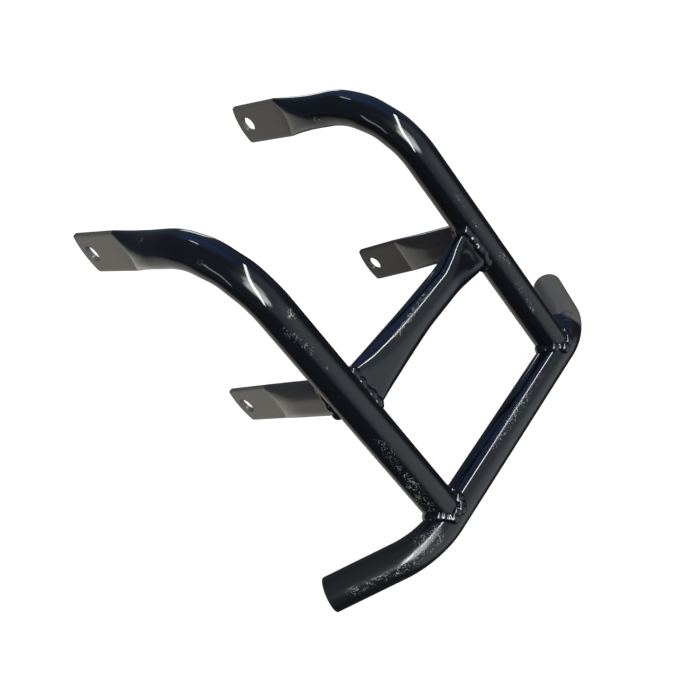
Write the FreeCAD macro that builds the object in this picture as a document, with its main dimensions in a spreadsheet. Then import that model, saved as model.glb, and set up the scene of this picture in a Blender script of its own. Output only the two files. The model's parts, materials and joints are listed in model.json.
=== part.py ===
import FreeCAD, Part
import Sketcher
import math
import os

# Front bumper for a small quad bike: bent steel tubes, welded together, with pressed bolt tabs.
# X runs across the vehicle, Y to its rear and Z up. The origin is midway along the upper bolt axis.

# Driving sizes: name, value in millimetres or degrees, and what it measures
SIZES = (
    ("tube_od", 25.4, "upright tube, outside diameter"),
    ("bar_od", 25.4, "bumper bar, outside diameter"),
    ("cross_od", 24.0, "cross tube, outside diameter"),
    ("tube_wall", 2.0, "wall of every tube"),
    ("upright_spacing", 174.0, "between the centrelines of the two uprights"),
    ("lean", 14.7, "lean of the uprights to the rear, in degrees"),
    ("leg_length", 186.5, "bar centreline to the start of the bend"),
    ("bend_radius", 66.0, "centreline radius of the upright's bend"),
    ("arm_length", 52.0, "end of the bend to the crease of the tab"),
    ("flare_length", 40.0, "round tube to the crease, where the tube is pressed flat"),
    ("foot_trim", 4.0, "square trim of the coped foot, above the bar centreline"),
    ("tab_length", 50.0, "upper tab, crease to the corners of its tip"),
    ("tab_width", 32.5, "upper tab, height of the pressed tube"),
    ("hole_inset", 8.2, "upper bolt hole, from the corners of the tip"),
    ("bolt_hole", 12.0, "diameter of the four bolt holes"),
    ("tip_radius", 41.0, "sheared end of a tab"),
    ("corner_radius", 2.5, "corners of a tab's tip"),
    ("bar_straight", 181.0, "straight middle of the bar"),
    ("wing_radius", 58.0, "centreline radius of the bar's bends"),
    ("wing_angle", 43.0, "turn of each wing to the rear, in degrees"),
    ("wing_length", 52.5, "straight end of each wing"),
    ("cross_level", 112.5, "cross tube, from the bar centreline along the leg"),
    ("cross_round", 70.0, "middle of the cross tube that is left round"),
    ("cross_end_width", 33.0, "pressed end of the cross tube, along the leg"),
    ("cross_end_depth", 12.0, "pressed end of the cross tube, across the leg"),
    ("stay_level", 115.5, "lower stay, from the bar centreline along the leg"),
    ("stay_drop", 10.7, "slope of the lower stay down to the rear, in degrees"),
    ("stay_reach", 121.0, "lower stay, leg centreline to its bolt hole"),
    ("stay_width", 27.5, "height of the stay's part-flattened tube"),
    ("stay_depth", 18.0, "thickness of the stay's part-flattened tube"),
    ("stay_flare", 38.0, "part-flattened tube to the crease of the stay's tab"),
    ("stay_tab_length", 45.7, "lower tab, crease to the corners of its tip"),
    ("stay_tab_width", 31.2, "lower tab, height of the pressed tube"),
    ("stay_hole_inset", 7.8, "lower bolt hole, from the corners of the tip"),
    ("weld_leg", 4.5, "weld bead, reach from the joint"),
    ("weld_cap", 2.5, "weld bead, thickness on the tube that it runs round"),
)

# Stations of a pressed end: share of the flare's length, of its thinning and of its widening
FLARE_STATIONS = ((0.32, 0.10, 0.16), (0.62, 0.38, 0.55), (0.86, 0.76, 0.88))
# The hollow follows the later ones, and closes at the last
HOLLOW_STATIONS = FLARE_STATIONS[1:]
# Half the arc of a round section that is pressed into a flat side, in degrees
SIDE_ARC = 60
# How far the outline of what is sheared off a tab reaches from the bolt hole, in tab widths
SHEAR_REACH = 1.5

# Places that several pieces share, written for the sheet
CREASE = "(Sizes.tab_length - Sizes.hole_inset)"
STAY_CREASE = "(Sizes.stay_tab_length - Sizes.stay_hole_inset)"
TAB_THICKNESS = "(2 * Sizes.tube_wall)"
HALF_SPACING = "(Sizes.upright_spacing / 2)"
BAR_DEPTH = (f"({CREASE} + Sizes.arm_length + Sizes.bend_radius * cos(Sizes.lean)"
             " + Sizes.leg_length * sin(Sizes.lean))")
BAR_DROP = "(Sizes.bend_radius * (1 - sin(Sizes.lean)) + Sizes.leg_length * cos(Sizes.lean))"

doc = FreeCAD.newDocument("front_bumper")
sheet = doc.addObject("Spreadsheet::Sheet", "Sizes")
for row, (alias, value, meaning) in enumerate(SIZES, start=1):
    sheet.set(f"A{row}", meaning)
    sheet.set(f"B{row}", str(value))
    sheet.setAlias(f"B{row}", alias)
doc.recompute()


def read(alias):
    return float(sheet.get(alias))


def vector(x, y, z):
    return FreeCAD.Vector(x, y, z)


# Sketches and their dimensions

def new_sketch(body, name, role, x="0", y="0", z="0"):
    sketch = body.newObject("Sketcher::SketchObject", name)
    support = next(item for item in body.Origin.OriginFeatures if item.Role == role)
    sketch.AttachmentSupport = [(support, "")]
    sketch.MapMode = "FlatFace"
    sketch.setExpression("AttachmentOffset.Base.x", x)
    sketch.setExpression("AttachmentOffset.Base.y", y)
    sketch.setExpression("AttachmentOffset.Base.z", z)
    return sketch


def dimension(sketch, kind, places, start, expression):
    index = sketch.addConstraint(Sketcher.Constraint(kind, *places, start))
    sketch.setExpression(f"Constraints[{index}]", expression)


def constrain(sketch, kind, *places):
    sketch.addConstraint(Sketcher.Constraint(kind, *places))


# The sketcher's own codes for the points of a shape and for a sketch's axes
START, END, CENTRE = range(1, 4)
AXIS_ACROSS, AXIS_UP = range(-1, -3, -1)
ORIGIN = (AXIS_ACROSS, START)


def circle_sketch(body, name, role, diameter, x="0", y="0", z="0"):
    sketch = new_sketch(body, name, role, x, y, z)
    start = read("tube_od")
    circle = sketch.addGeometry(Part.Circle(vector(0, 0, 0), vector(0, 0, 1), start / 2))
    constrain(sketch, "Coincident", circle, CENTRE, *ORIGIN)
    dimension(sketch, "Diameter", (circle,), start, diameter)
    return sketch


# A round tube's section in four arcs, two that become flat sides and two that become edges
def ring_sketch(body, name, role, diameter, offset):
    sketch = new_sketch(body, name, role, z=offset)
    radius = read("tube_od") / 2
    side = math.radians(SIDE_ARC)
    turns = (-side, side, math.pi - side, math.pi + side, 2 * math.pi - side)
    circle = Part.Circle(vector(0, 0, 0), vector(0, 0, 1), radius)
    arcs = [sketch.addGeometry(Part.ArcOfCircle(circle, near, far)) for near, far in zip(turns, turns[1:])]
    right, top, left, base = arcs
    for arc in arcs:
        constrain(sketch, "Coincident", arc, CENTRE, *ORIGIN)
    for arc, following in zip(arcs, arcs[1:]):
        constrain(sketch, "Coincident", arc, END, following, START)
    constrain(sketch, "Horizontal", right, END, top, END)
    constrain(sketch, "Vertical", left, START, left, END)
    constrain(sketch, "Vertical", right, END, right, START)
    constrain(sketch, "Vertical", right, END, base, END)
    dimension(sketch, "Radius", (right,), radius, f"({diameter}) / 2")
    dimension(sketch, "DistanceX", (*ORIGIN, right, END), radius * math.cos(side),
              f"({diameter}) / 2 * cos({SIDE_ARC})")
    return sketch


# A pressed tube's section: flat sides and round edges, upright in its sketch
def slot_sketch(body, name, role, thickness, width, offset):
    sketch = new_sketch(body, name, role, z=offset)
    radius = read("tube_wall")
    reach = read("tab_width") / 2 - radius
    upper = Part.Circle(vector(0, reach, 0), vector(0, 0, 1), radius)
    lower = Part.Circle(vector(0, -reach, 0), vector(0, 0, 1), radius)
    right = sketch.addGeometry(Part.LineSegment(vector(radius, -reach, 0), vector(radius, reach, 0)))
    top = sketch.addGeometry(Part.ArcOfCircle(upper, 0, math.pi))
    left = sketch.addGeometry(Part.LineSegment(vector(-radius, reach, 0), vector(-radius, -reach, 0)))
    base = sketch.addGeometry(Part.ArcOfCircle(lower, math.pi, 2 * math.pi))
    loop = (right, top, left, base)
    for edge, following in zip(loop, loop[1:] + loop[:1]):
        constrain(sketch, "Tangent", edge, END, following, START)
    for arc in (top, base):
        constrain(sketch, "PointOnObject", arc, CENTRE, AXIS_UP)
    constrain(sketch, "Equal", top, base)
    spread = f"({width} - {thickness}) / 2"
    dimension(sketch, "Radius", (top,), radius, f"{thickness} / 2")
    dimension(sketch, "DistanceY", (*ORIGIN, top, CENTRE), reach, spread)
    dimension(sketch, "DistanceY", (base, CENTRE, *ORIGIN), reach, spread)
    return sketch


# What is sheared off beyond the tip of a tab, seen from the side with the bolt hole at the origin
def tip_sketch(body, name, width, inset):
    sketch = new_sketch(body, name, "YZ_Plane")
    half = read("tab_width") / 2
    tip = read("tip_radius")
    corner = read("corner_radius")
    far = 2 * half * SHEAR_REACH
    centre = read("hole_inset") - math.sqrt(tip ** 2 - half ** 2)
    corner_y = half - corner
    corner_x = centre + math.sqrt((tip - corner) ** 2 - corner_y ** 2)
    swing = math.asin(corner_y / (tip - corner))
    quarter = math.pi / 2
    normal = vector(0, 0, 1)
    end_circle = Part.Circle(vector(centre, 0, 0), normal, tip)
    upper_circle = Part.Circle(vector(corner_x, corner_y, 0), normal, corner)
    lower_circle = Part.Circle(vector(corner_x, -corner_y, 0), normal, corner)
    end_arc = sketch.addGeometry(Part.ArcOfCircle(end_circle, -swing, swing))
    upper = sketch.addGeometry(Part.ArcOfCircle(upper_circle, swing, quarter))
    lower = sketch.addGeometry(Part.ArcOfCircle(lower_circle, -quarter, -swing))
    corners = ((corner_x, half), (corner_x, far), (far, far), (far, -far), (corner_x, -far), (corner_x, -half))
    sides = []
    for near_point, next_point in zip(corners, corners[1:]):
        line = Part.LineSegment(vector(*near_point, 0), vector(*next_point, 0))
        sides.append(sketch.addGeometry(line))
    constrain(sketch, "Tangent", end_arc, END, upper, START)
    constrain(sketch, "Tangent", lower, END, end_arc, START)
    constrain(sketch, "Coincident", upper, END, sides[0], START)
    constrain(sketch, "Coincident", sides[-1], END, lower, START)
    for line, following in zip(sides, sides[1:]):
        constrain(sketch, "Coincident", line, END, following, START)
    for line, way in zip(sides, ("Vertical", "Horizontal", "Vertical", "Horizontal", "Vertical")):
        constrain(sketch, way, line)
    constrain(sketch, "PointOnObject", end_arc, CENTRE, AXIS_ACROSS)
    constrain(sketch, "Equal", upper, lower)
    constrain(sketch, "Vertical", upper, CENTRE, upper, END)
    constrain(sketch, "Vertical", lower, CENTRE, lower, START)
    dimension(sketch, "Radius", (end_arc,), tip, "Sizes.tip_radius")
    dimension(sketch, "DistanceX", (end_arc, CENTRE, *ORIGIN), -centre,
              f"sqrt(Sizes.tip_radius ^ 2 - ({width} / 2) ^ 2) - {inset}")
    dimension(sketch, "Radius", (upper,), corner, "Sizes.corner_radius")
    dimension(sketch, "DistanceY", (*ORIGIN, upper, CENTRE), corner_y, f"{width} / 2 - Sizes.corner_radius")
    dimension(sketch, "DistanceY", (lower, CENTRE, *ORIGIN), corner_y, f"{width} / 2 - Sizes.corner_radius")
    dimension(sketch, "DistanceY", (*ORIGIN, sides[1], START), far, f"{width} * {SHEAR_REACH}")
    dimension(sketch, "DistanceY", (sides[3], START, *ORIGIN), far, f"{width} * {SHEAR_REACH}")
    dimension(sketch, "DistanceX", (*ORIGIN, sides[2], START), far, f"{width} * {SHEAR_REACH}")
    return sketch


# Centreline of an upright, from its flare forward along the arm, round the bend and down the leg
def upright_path(body):
    sketch = new_sketch(body, "Centreline", "YZ_Plane")
    crease = read("tab_length") - read("hole_inset")
    flare = -crease - read("flare_length")
    bend = -crease - read("arm_length")
    radius = read("bend_radius")
    lean = math.radians(read("lean"))
    length = read("leg_length") - read("foot_trim")
    middle = vector(bend, -radius, 0)
    turned = middle + vector(-math.cos(lean), math.sin(lean), 0) * radius
    foot = turned - vector(math.sin(lean), math.cos(lean), 0) * length
    circle = Part.Circle(middle, vector(0, 0, 1), radius)
    arm = sketch.addGeometry(Part.LineSegment(vector(flare, 0, 0), vector(bend, 0, 0)))
    arc = sketch.addGeometry(Part.ArcOfCircle(circle, math.pi / 2, math.pi - lean))
    leg = sketch.addGeometry(Part.LineSegment(turned, foot))
    constrain(sketch, "Tangent", arm, END, arc, START)
    constrain(sketch, "Tangent", arc, END, leg, START)
    constrain(sketch, "PointOnObject", arm, START, AXIS_ACROSS)
    constrain(sketch, "PointOnObject", arm, END, AXIS_ACROSS)
    dimension(sketch, "DistanceX", (arm, START, *ORIGIN), -flare, f"{CREASE} + Sizes.flare_length")
    dimension(sketch, "DistanceX", (arm, END, *ORIGIN), -bend, f"{CREASE} + Sizes.arm_length")
    dimension(sketch, "Radius", (arc,), radius, "Sizes.bend_radius")
    dimension(sketch, "DistanceX", (leg, END, leg, START), turned.x - foot.x,
              "(Sizes.leg_length - Sizes.foot_trim) * sin(Sizes.lean)")
    dimension(sketch, "DistanceY", (leg, END, leg, START), turned.y - foot.y,
              "(Sizes.leg_length - Sizes.foot_trim) * cos(Sizes.lean)")
    return sketch


# Centreline of the right half of the bar, from the middle out and round into the wing
def bar_path(body, x="0", y="0", z="0"):
    sketch = new_sketch(body, "BarCentreline", "XY_Plane", x, y, z)
    straight = read("bar_straight") / 2
    radius = read("wing_radius")
    angle = math.radians(read("wing_angle"))
    length = read("wing_length")
    middle = vector(-straight, radius, 0)
    turned = middle + vector(-math.sin(angle), -math.cos(angle), 0) * radius
    end = turned + vector(-math.cos(angle), math.sin(angle), 0) * length
    circle = Part.Circle(middle, vector(0, 0, 1), radius)
    bar = sketch.addGeometry(Part.LineSegment(vector(0, 0, 0), vector(-straight, 0, 0)))
    arc = sketch.addGeometry(Part.ArcOfCircle(circle, 1.5 * math.pi - angle, 1.5 * math.pi))
    wing = sketch.addGeometry(Part.LineSegment(turned, end))
    constrain(sketch, "Tangent", bar, END, arc, END)
    constrain(sketch, "Tangent", arc, START, wing, START)
    constrain(sketch, "Coincident", bar, START, *ORIGIN)
    constrain(sketch, "PointOnObject", bar, END, AXIS_ACROSS)
    dimension(sketch, "DistanceX", (bar, END, *ORIGIN), straight, "Sizes.bar_straight / 2")
    dimension(sketch, "Radius", (arc,), radius, "Sizes.wing_radius")
    dimension(sketch, "DistanceX", (wing, END, wing, START), turned.x - end.x,
              "Sizes.wing_length * cos(Sizes.wing_angle)")
    dimension(sketch, "DistanceY", (wing, START, wing, END), end.y - turned.y,
              "Sizes.wing_length * sin(Sizes.wing_angle)")
    return sketch


# Features

def pipe(body, kind, name, profile, path):
    feature = body.newObject(f"PartDesign::{kind}", name)
    feature.Profile = profile
    feature.Spine = path
    return feature


def loft(body, kind, name, sections, ruled=True):
    feature = body.newObject(f"PartDesign::{kind}", name)
    feature.Profile = sections[0]
    feature.Sections = [(section, [""]) for section in sections[1:]]
    feature.Ruled = ruled
    return feature


def pad(body, name, profile, length, rearward=False):
    feature = body.newObject("PartDesign::Pad", name)
    feature.Profile = profile
    feature.setExpression("Length", length)
    feature.Reversed = rearward
    return feature


def pocket_through(body, name, profile):
    feature = body.newObject("PartDesign::Pocket", name)
    feature.Profile = profile
    feature.Type = "ThroughAll"
    feature.SideType = "Symmetric"
    return feature


def pocket(body, name, profile, length):
    feature = body.newObject("PartDesign::Pocket", name)
    feature.Profile = profile
    feature.setExpression("Length", length)
    feature.Reversed = True
    return feature


def new_body(label, x="0", y="0", z="0", turn=None):
    body = doc.addObject("PartDesign::Body", label)
    body.Label = label
    if turn:
        body.Placement = FreeCAD.Placement(vector(0, 0, 0), FreeCAD.Rotation(vector(1, 0, 0), 1))
        body.setExpression("Placement.Rotation.Angle", turn)
    body.setExpression("Placement.Base.x", x)
    body.setExpression("Placement.Base.y", y)
    body.setExpression("Placement.Base.z", z)
    return body


# Sections from a tube to its flat tab, or of the hollow inside them, which closes before the crease
def flare_sections(body, name, first, start, depth, width, tab_width, crease, length, hollow):
    shrink = " - 2 * Sizes.tube_wall" if hollow else ""
    stations = HOLLOW_STATIONS if hollow else FLARE_STATIONS
    sections = [first]
    for number, (along, thinned, widened) in enumerate(stations, start=1):
        thickness = f"({depth} + ({TAB_THICKNESS} - {depth}) * {thinned}{shrink})"
        height = f"({width} + ({tab_width} - {width}) * {widened}{shrink})"
        offset = f"{start} - {length} * {along}"
        section = slot_sketch(body, f"{name}{number}", "XZ_Plane", thickness, height, offset)
        sections.append(section)
    if not hollow:
        sections.append(slot_sketch(body, f"{name}Crease", "XZ_Plane", TAB_THICKNESS, tab_width, crease))
    return sections


# Flat tab behind the crease, with its sheared tip and its bolt hole
def bolt_tab(body, section, tab_width, crease, inset):
    pad(body, "Tab", section, f"{crease} + {inset} + {tab_width} / 2", rearward=True)
    pocket_through(body, "TipShear", tip_sketch(body, "TipOutline", tab_width, inset))
    hole = circle_sketch(body, "HoleOutline", "YZ_Plane", "Sizes.bolt_hole")
    return pocket_through(body, "BoltHole", hole)


# Upright: a bent tube, coped onto the bar at its foot and pressed flat into the upper tab
def right_upright():
    body = new_body("right_upright", x=f"-{HALF_SPACING}")
    start = f"({CREASE} + Sizes.flare_length)"
    path = upright_path(body)
    outside = circle_sketch(body, "Outside", "XZ_Plane", "Sizes.tube_od", z=start)
    pipe(body, "AdditivePipe", "Tube", outside, path)
    ring = ring_sketch(body, "FlareStart", "XZ_Plane", "Sizes.tube_od", start)
    flare = ("Sizes.tube_od", "Sizes.tube_od", "Sizes.tab_width", CREASE, "Sizes.flare_length")
    sections = flare_sections(body, "Flare", ring, start, *flare, hollow=False)
    loft(body, "AdditiveLoft", "PressedEnd", sections, ruled=False)
    bolt_tab(body, sections[-1], "Sizes.tab_width", CREASE, "Sizes.hole_inset")
    bore = "Sizes.tube_od - 2 * Sizes.tube_wall"
    pipe(body, "SubtractivePipe", "Bore", circle_sketch(body, "Inside", "XZ_Plane", bore, z=start), path)
    ring = ring_sketch(body, "HollowStart", "XZ_Plane", bore, start)
    hollow = flare_sections(body, "Hollow", ring, start, *flare, hollow=True)
    loft(body, "SubtractiveLoft", "PressedHollow", hollow)
    bar_line = bar_path(body, HALF_SPACING, f"-{BAR_DEPTH}", f"-{BAR_DROP}")
    bar_outline = circle_sketch(body, "BarOutline", "YZ_Plane", "Sizes.bar_od",
                                f"-{BAR_DEPTH}", f"-{BAR_DROP}", HALF_SPACING)
    pipe(body, "SubtractivePipe", "FootCope", bar_outline, bar_line)
    return body


# Lower stay: a part-flattened tube, coped behind the leg and pressed flat into the lower tab
def right_lower_stay():
    depth = f"(-{BAR_DEPTH} + Sizes.stay_level * sin(Sizes.lean) + Sizes.stay_reach * cos(Sizes.stay_drop))"
    height = f"(-{BAR_DROP} + Sizes.stay_level * cos(Sizes.lean) - Sizes.stay_reach * sin(Sizes.stay_drop))"
    body = new_body("right_lower_stay", f"-{HALF_SPACING}", depth, height, "-Sizes.stay_drop")
    start = f"({STAY_CREASE} + Sizes.stay_flare)"
    tube = slot_sketch(body, "Outside", "XZ_Plane", "Sizes.stay_depth", "Sizes.stay_width", start)
    pad(body, "Tube", tube, f"Sizes.stay_reach - {start}")
    flare = ("Sizes.stay_depth", "Sizes.stay_width", "Sizes.stay_tab_width", STAY_CREASE, "Sizes.stay_flare")
    sections = flare_sections(body, "Flare", tube, start, *flare, hollow=False)
    loft(body, "AdditiveLoft", "PressedEnd", sections, ruled=False)
    envelope = bolt_tab(body, sections[-1], "Sizes.stay_tab_width", STAY_CREASE, "Sizes.stay_hole_inset")
    inside = slot_sketch(body, "Inside", "XZ_Plane", "(Sizes.stay_depth - 2 * Sizes.tube_wall)",
                         "(Sizes.stay_width - 2 * Sizes.tube_wall)", start)
    pocket(body, "Bore", inside, f"Sizes.stay_reach - {start}")
    hollow = flare_sections(body, "Hollow", inside, start, *flare, hollow=True)
    loft(body, "SubtractiveLoft", "PressedHollow", hollow)
    leg = circle_sketch(body, "LegOutline", "XY_Plane", "Sizes.tube_od", y="-Sizes.stay_reach")
    leg.AttachmentOffset = FreeCAD.Placement(vector(0, 0, 0), FreeCAD.Rotation(vector(1, 0, 0), 1))
    leg.setExpression("AttachmentOffset.Rotation.Angle", "Sizes.stay_drop - Sizes.lean")
    pocket_through(body, "LegCope", leg)
    return body, envelope


# Bar: straight across the front, with a wing bent to the rear at each end, open at its cut ends
def bumper_bar():
    body = new_body("bumper_bar", y=f"-{BAR_DEPTH}", z=f"-{BAR_DROP}")
    path = bar_path(body)
    envelope = pipe(body, "AdditivePipe", "Tube", circle_sketch(body, "Outside", "YZ_Plane", "Sizes.bar_od"), path)
    inside = circle_sketch(body, "Inside", "YZ_Plane", "Sizes.bar_od - 2 * Sizes.tube_wall")
    pipe(body, "SubtractivePipe", "Bore", inside, path)
    mirror_whole(body)
    return body, envelope, path


# Cross tube: round in the middle, pressed oval towards both legs and coped between them
def cross_tube():
    depth = f"(-{BAR_DEPTH} + Sizes.cross_level * sin(Sizes.lean))"
    height = f"(-{BAR_DROP} + Sizes.cross_level * cos(Sizes.lean))"
    body = new_body("cross_tube", y=depth, z=height, turn="-Sizes.lean")
    half = "(-Sizes.cross_round / 2)"
    flare = f"({HALF_SPACING} - Sizes.tube_od / 2 - Sizes.weld_leg - Sizes.cross_round / 2)"

    # Half pressed, fully pressed where the weld begins, and on to the leg's centreline
    def end_sections(name, first, shrink):
        sections = [first]
        places = ((0.5, f"{half} - {flare} / 2"), (1, f"{half} - {flare}"), (1, f"-{HALF_SPACING}"))
        for number, (share, offset) in enumerate(places, start=1):
            thickness = f"(Sizes.cross_od + (Sizes.cross_end_depth - Sizes.cross_od) * {share}{shrink})"
            width = f"(Sizes.cross_od + (Sizes.cross_end_width - Sizes.cross_od) * {share}{shrink})"
            sections.append(slot_sketch(body, f"{name}{number}", "YZ_Plane", thickness, width, offset))
        return sections

    pad(body, "Tube", circle_sketch(body, "Outside", "YZ_Plane", "Sizes.cross_od", z=half), "Sizes.cross_round / 2")
    ring = ring_sketch(body, "FlareStart", "YZ_Plane", "Sizes.cross_od", half)
    envelope = loft(body, "AdditiveLoft", "PressedEnd", end_sections("Flare", ring, ""))
    bore = "Sizes.cross_od - 2 * Sizes.tube_wall"
    pocket(body, "Bore", circle_sketch(body, "Inside", "YZ_Plane", bore, z=half), "Sizes.cross_round / 2")
    ring = ring_sketch(body, "HollowStart", "YZ_Plane", bore, half)
    loft(body, "SubtractiveLoft", "PressedHollow", end_sections("Hollow", ring, " - 2 * Sizes.tube_wall"))
    leg = circle_sketch(body, "LegOutline", "XY_Plane", "Sizes.tube_od", x=f"-{HALF_SPACING}")
    pocket_through(body, "LegCope", leg)
    mirror_whole(body)
    return body, envelope


def mirror_whole(body):
    feature = body.newObject("PartDesign::Mirrored", "OtherHalf")
    feature.TransformMode = "Whole shape"
    feature.MirrorPlane = (next(item for item in body.Origin.OriginFeatures if item.Role == "YZ_Plane"), [""])
    body.Tip = feature


# Weld beads, each a fillet in the corner between two tubes, cut to lie on both

def in_place(body, feature):
    shape = feature.Shape.copy()
    shape.Placement = body.Placement.multiply(shape.Placement)
    return shape


# Outline of a pressed tube: flat sides across its thickness and round edges along its width
def slot_wire(centre, thick_way, wide_way, thickness, width):
    side = thick_way * (thickness / 2)
    reach = wide_way * ((width - thickness) / 2)
    edge = wide_way * (width / 2)
    edges = [
        Part.makeLine(centre + side - reach, centre + side + reach),
        Part.Arc(centre + side + reach, centre + edge, centre - side + reach).toShape(),
        Part.makeLine(centre - side + reach, centre - side - reach),
        Part.Arc(centre - side - reach, centre - edge, centre + side - reach).toShape(),
    ]
    return Part.Wire(edges)


# A bead round a pressed tube that stands on the leg, with its upper and lower corners rounded
def bead_on_leg(joint, outward, thick_way, wide_way, thickness, width):
    reach = leg_radius + weld_leg
    spread = 2 * weld_cap
    start = joint + outward * (leg_radius / 2)
    outline = slot_wire(start, thick_way, wide_way, thickness + spread, width + spread)
    cover = Part.Face(outline).extrude(outward * reach)
    near_leg = Part.makeCylinder(reach, 2 * leg_length, leg_foot, along_leg)
    corner = Part.makeSphere(math.hypot(width / 2 + weld_cap, leg_radius), joint)
    return cover.common(near_leg).common(corner)


def bead(label, shape, cutters):
    for cutter in cutters:
        shape = shape.cut(cutter)
    feature = doc.addObject("Part::Feature", label)
    feature.Label = label
    feature.Shape = shape
    return feature


def mirrored(source, label):
    feature = doc.addObject("Part::Mirroring", label)
    feature.Label = label
    feature.Source = source
    feature.Normal = vector(1, 0, 0)
    return feature


upright = right_upright()
stay, stay_envelope = right_lower_stay()
bar, bar_envelope, bar_line = bumper_bar()
cross, cross_envelope = cross_tube()
# The first pass solves the sketches, and the second places the bodies
doc.recompute()
doc.recompute()

# The leg's own directions, and the point where its centreline meets the bar's
lean_angle = math.radians(read("lean"))
drop_angle = math.radians(read("stay_drop"))
along_leg = vector(0, math.sin(lean_angle), math.cos(lean_angle))
behind_leg = vector(0, math.cos(lean_angle), -math.sin(lean_angle))
across = vector(1, 0, 0)
leg_foot = vector(-read("upright_spacing") / 2, bar.Placement.Base.y, bar.Placement.Base.z)
leg_radius = read("tube_od") / 2
leg_length = read("leg_length")
bar_radius = read("bar_od") / 2
weld_leg = read("weld_leg")
weld_cap = read("weld_cap")
leg_solid = Part.makeCylinder(leg_radius, leg_length, leg_foot + along_leg * read("foot_trim"), along_leg)
bar_solid = in_place(bar, bar_envelope)
cross_solid = in_place(cross, cross_envelope)
stay_solid = in_place(stay, stay_envelope)

# Foot bead: what lies near both the leg and the bar, with its outer corner rounded
bar_middle = vector(0, leg_foot.y, leg_foot.z)
bar_outline = Part.Wire(Part.makeCircle(bar_radius + weld_leg, bar_middle, across))
bar_cover = in_place(bar, bar_line).Wires[0].makePipeShell([bar_outline], True, False)
leg_cover = Part.makeCylinder(leg_radius + weld_cap, leg_length, leg_foot, along_leg)
corner = Part.makeSphere(math.hypot(bar_radius + weld_leg, leg_radius), leg_foot)
foot_bead = bar_cover.common(leg_cover).common(corner)
foot_weld = bead("right_foot_weld", foot_bead, [leg_solid, bar_solid])

# Beads at the cross tube and at the stay, which meet beside the leg
cross_start = leg_foot + along_leg * read("cross_level")
cross_section = (behind_leg, along_leg, read("cross_end_depth"), read("cross_end_width"))
cross_bead = bead_on_leg(cross_start, across, *cross_section)
cross_weld = bead("right_cross_weld", cross_bead, [leg_solid, cross_solid, stay_solid])
stay_start = leg_foot + along_leg * read("stay_level")
stay_way = vector(0, math.cos(drop_angle), -math.sin(drop_angle))
stay_up = vector(0, math.sin(drop_angle), math.cos(drop_angle))
stay_bead = bead_on_leg(stay_start, stay_way, across, stay_up, read("stay_depth"), read("stay_width"))
stay_weld = bead("right_stay_weld", stay_bead, [leg_solid, stay_solid, cross_solid, cross_weld.Shape])

parts = [upright, stay, bar, cross, foot_weld, cross_weld, stay_weld]
for source in (upright, stay, foot_weld, cross_weld, stay_weld):
    parts.append(mirrored(source, source.Label.replace("right_", "left_")))
doc.recompute()

for item in doc.Objects:
    if "Invalid" in item.State or "Error" in item.State:
        raise RuntimeError(f"{item.Label} failed: {item.State}")
for part in parts:
    if part.Shape.isNull() or not part.Shape.isValid():
        raise RuntimeError(f"{part.Label} has no valid shape")
    if len(part.Shape.Solids) != 1:
        raise RuntimeError(f"{part.Label} is not one solid")

os.makedirs("parts", exist_ok=True)
for part in parts:
    part.Shape.exportStep(f"parts/{part.Label}.step")
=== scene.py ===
import bpy
import bmesh
import json
import math
from mathutils import Matrix, Vector, noise


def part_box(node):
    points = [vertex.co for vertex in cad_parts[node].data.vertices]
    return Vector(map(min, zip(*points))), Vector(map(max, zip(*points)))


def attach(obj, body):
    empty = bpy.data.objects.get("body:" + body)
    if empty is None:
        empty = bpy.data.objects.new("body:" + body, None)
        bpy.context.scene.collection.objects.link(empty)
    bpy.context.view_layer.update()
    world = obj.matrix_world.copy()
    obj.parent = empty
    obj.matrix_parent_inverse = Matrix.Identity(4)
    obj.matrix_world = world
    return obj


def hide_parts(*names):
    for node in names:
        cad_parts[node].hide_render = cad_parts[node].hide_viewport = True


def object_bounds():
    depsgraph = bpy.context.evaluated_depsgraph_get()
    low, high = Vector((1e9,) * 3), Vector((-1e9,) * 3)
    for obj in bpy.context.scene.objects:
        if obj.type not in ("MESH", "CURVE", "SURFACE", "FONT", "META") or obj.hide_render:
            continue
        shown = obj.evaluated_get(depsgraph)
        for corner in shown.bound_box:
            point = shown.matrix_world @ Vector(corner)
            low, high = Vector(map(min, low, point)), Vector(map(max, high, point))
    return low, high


mm = 0.001
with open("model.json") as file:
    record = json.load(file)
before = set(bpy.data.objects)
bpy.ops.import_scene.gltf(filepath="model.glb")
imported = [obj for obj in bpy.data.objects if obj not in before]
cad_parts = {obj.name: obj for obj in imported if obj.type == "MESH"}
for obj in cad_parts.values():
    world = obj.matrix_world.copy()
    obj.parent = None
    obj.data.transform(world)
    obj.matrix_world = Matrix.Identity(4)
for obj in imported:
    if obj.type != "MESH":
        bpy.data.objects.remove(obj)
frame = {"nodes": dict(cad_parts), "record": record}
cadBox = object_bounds()
print("frame loaded:", len(frame["nodes"]), "nodes")

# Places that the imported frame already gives
record = frame["record"]
boltAxes = {mount["name"]: mount for mount in record["mounts"]}
upperHole = Vector(boltAxes["upper_bolt_axis"]["pos_m"])
lowerHole = Vector(boltAxes["lower_bolt_axis"]["pos_m"])
holeRadius = boltAxes["upper_bolt_axis"]["dims"]["r_mm"] * mm
barLow, barHigh = (Vector(corner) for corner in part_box("bumper_bar"))
legLow, legHigh = (Vector(corner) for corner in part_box("right_upright"))
barRadius = (barHigh.z - barLow.z) / 2
barMiddle = Vector((0, barLow.y + barRadius, barLow.z + barRadius))
legRadius = (legHigh.x - legLow.x) / 2
halfSpacing = -(legHigh.x + legLow.x) / 2

across = Vector((1, 0, 0))
rearward = Vector((0, 1, 0))
upward = Vector((0, 0, 1))
sides = ((-1, "right"), (1, "left"))


def footOf(side):
    return barMiddle + across * side * halfSpacing


def mix(a, b, share):
    return a + (b - a) * share


def clamp(value, low=0, high=1):
    return min(max(value, low), high)


def smoothStep(share):
    return share * share * (3 - 2 * share)


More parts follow.
